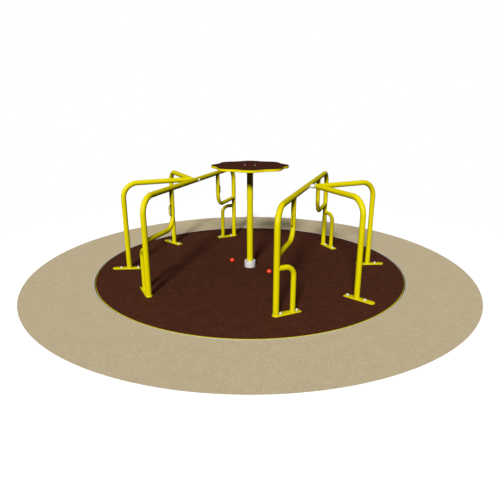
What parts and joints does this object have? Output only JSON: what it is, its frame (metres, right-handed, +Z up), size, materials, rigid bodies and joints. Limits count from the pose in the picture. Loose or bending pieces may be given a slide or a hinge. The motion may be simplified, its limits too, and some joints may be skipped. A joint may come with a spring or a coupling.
{
  "type": "merry-go-round",
  "caption": "Flush wheelchair-accessible playground roundabout: turning round platform with tubular rails and grab loops about a fixed lobed table on a column.",
  "frame": {"origin": "on the axis of rotation at the underside of the ground frame, the centre of the bounding box's bottom face; the walking surface is at z = 0.22", "axes": "+Z up along the axis of rotation; +X towards the right-hand rail group; +Y along the wheelchair passage, away from the viewer"},
  "size_m": [3.02, 3.02, 1.2433],
  "materials": {
    "yellow_powder_coat": "satin polyester powder coat, signal yellow",
    "galvanised_steel": "hot-dip galvanised, dull spangle",
    "stainless_steel": "stainless steel, fine turned",
    "brown_rubber": "matt granulated rubber",
    "plywood": "film-faced plywood",
    "table_board": "grained polyethylene, brown skins on a yellow core",
    "red_plastic": "moulded gloss",
    "bronze": "machined bearing bronze",
    "bearing_steel": "ground and oiled"
  },
  "bodies": {
    "ground": {"base_frame": "galvanised_steel", "pit_ring_right_back": "galvanised_steel", "pit_ring_left_back": "galvanised_steel", "pit_ring_left_front": "galvanised_steel", "pit_ring_right_front": "galvanised_steel", "spindle": "stainless_steel", "thrust_race_lower": "bearing_steel", "column_tube": "yellow_powder_coat", "table_flange": "yellow_powder_coat", "table_board": "table_board"},
    "platform": {"thrust_race_upper": "bearing_steel", "hub_housing": "galvanised_steel", "hub_bush": "bronze", "hub_collar": "stainless_steel", "platform_frame": "galvanised_steel", "platform_rim": "yellow_powder_coat", "deck_panel_right": "plywood", "deck_panel_left": "plywood", "deck_covering": "brown_rubber", "access_cap_right": "red_plastic", "access_cap_left": "red_plastic", "arch_rail_right": "yellow_powder_coat", "stay_bolt_right": "stainless_steel", "stay_spacer_right": "stainless_steel", "stay_apex_right": "yellow_powder_coat", "arch_rail_left": "yellow_powder_coat", "stay_bolt_left": "stainless_steel", "stay_spacer_left": "stainless_steel", "stay_apex_left": "yellow_powder_coat", "grab_tube_right_front": "yellow_powder_coat", "low_loop_right_front": "yellow_powder_coat", "stay_tube_right_front": "yellow_powder_coat", "foot_plate_arch_right_front": "yellow_powder_coat", "foot_clamp_arch_right_front": "stainless_steel", "foot_plate_stay_right_front": "yellow_powder_coat", "foot_clamp_stay_right_front": "stainless_steel", "grab_tube_right_back": "yellow_powder_coat", "low_loop_right_back": "yellow_powder_coat", "stay_tube_right_back": "yellow_powder_coat", "foot_plate_arch_right_back": "yellow_powder_coat", "foot_clamp_arch_right_back": "stainless_steel", "foot_plate_stay_right_back": "yellow_powder_coat", "foot_clamp_stay_right_back": "stainless_steel", "grab_tube_left_front": "yellow_powder_coat", "low_loop_left_front": "yellow_powder_coat", "stay_tube_left_front": "yellow_powder_coat", "foot_plate_arch_left_front": "yellow_powder_coat", "foot_clamp_arch_left_front": "stainless_steel", "foot_plate_stay_left_front": "yellow_powder_coat", "foot_clamp_stay_left_front": "stainless_steel", "grab_tube_left_back": "yellow_powder_coat", "low_loop_left_back": "yellow_powder_coat", "stay_tube_left_back": "yellow_powder_coat", "foot_plate_arch_left_back": "yellow_powder_coat", "foot_clamp_arch_left_back": "stainless_steel", "foot_plate_stay_left_back": "yellow_powder_coat", "foot_clamp_stay_left_back": "stainless_steel"},
    "ball_cage": {"thrust_ball_cage": "bearing_steel"}
  },
  "joints": [
    {"name": "platform_spin", "type": "hinge", "parent": "ground", "child": "platform", "pos_m": [0, 0, 0.2], "axis": [0, 0, 1], "continuous": true},
    {"name": "cage_spin", "type": "hinge", "parent": "ground", "child": "ball_cage", "pos_m": [0, 0, 0.043], "axis": [0, 0, 1], "continuous": true}
  ],
  "couplings": [
    {"joint": "cage_spin", "follows": "platform_spin", "ratio": 0.5}
  ]
}
